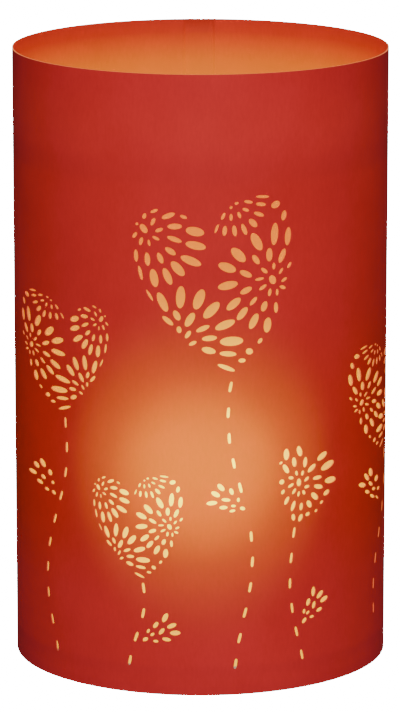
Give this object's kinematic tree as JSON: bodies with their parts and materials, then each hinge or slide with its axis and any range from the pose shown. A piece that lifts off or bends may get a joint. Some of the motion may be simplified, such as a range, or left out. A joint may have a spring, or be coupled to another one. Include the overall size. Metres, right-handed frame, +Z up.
{
  "type": "paper table lantern",
  "caption": "Cylindrical red paper table lantern with die-cut heart flowers, lit from within by a battery pillar candle under its lift-off sleeve.",
  "frame": {"origin": "centre of the footprint on the table plane, where the sleeve's lower edge and the candle's feet stand", "axes": "+Z up along the sleeve's axis; -Y is the front with the large heart flower; +Y is the glued seam; +X is to the right seen from the front"},
  "size_m": [0.152, 0.152, 0.25],
  "materials": {
    "red_card": "matte translucent card, dyed through",
    "clear_tape": "thin double-sided tape",
    "parchment": "matte translucent parchment",
    "hoop_wire": "white coated wire",
    "hot_glue": "cloudy hot glue",
    "ivory_wax": "paraffin wax, soft sheen",
    "flame_plastic": "frosted amber plastic, lit",
    "cream_plastic": "moulded, light texture",
    "white_plastic": "moulded, satin",
    "cell_jacket": "plastic film jacket over steel can",
    "plated_steel": "nickel plated spring strip and wire",
    "board_green": "solder mask on glass-fibre board",
    "led_epoxy": "clear warm epoxy",
    "black_plastic": "moulded, satin",
    "screw_steel": "zinc plated",
    "foot_rubber": "soft grey rubber",
    "wire_red_pvc": "pvc insulation",
    "wire_black_pvc": "pvc insulation"
  },
  "bodies": {
    "candle": {"wax_shell": "ivory_wax", "flame_lens": "flame_plastic", "base_cap": "cream_plastic", "candle_housing": "white_plastic", "battery_left": "cell_jacket", "battery_right": "cell_jacket", "contact_springs": "plated_steel", "contact_plates": "plated_steel", "circuit_board": "board_green", "led_bulb": "led_epoxy", "switch_body": "black_plastic", "base_screws": "screw_steel", "rubber_feet": "foot_rubber", "wire_red": "wire_red_pvc", "wire_black": "wire_black_pvc"},
    "shade": {"lantern_sleeve": "red_card", "sleeve_seam_tape": "clear_tape", "inner_liner": "parchment", "liner_tape_top": "clear_tape", "liner_tape_bottom": "clear_tape", "bottom_hoop": "hoop_wire", "hoop_glue_dabs": "hot_glue"},
    "battery_door": {"battery_door": "cream_plastic"},
    "switch_slider": {"switch_slider": "black_plastic"}
  },
  "joints": [
    {"name": "shade_lift", "type": "slide", "parent": "candle", "child": "shade", "axis": [0, 0, 1], "range_m": [0, 0.12]},
    {"name": "battery_door_hinge", "type": "hinge", "parent": "candle", "child": "battery_door", "pos_m": [0.0255, 0, 0.0022], "axis": [0, -1, 0], "range_deg": [0, 100]},
    {"name": "switch_slide", "type": "slide", "parent": "candle", "child": "switch_slider", "axis": [-1, 0, 0], "range_m": [0, 0.004]}
  ]
}
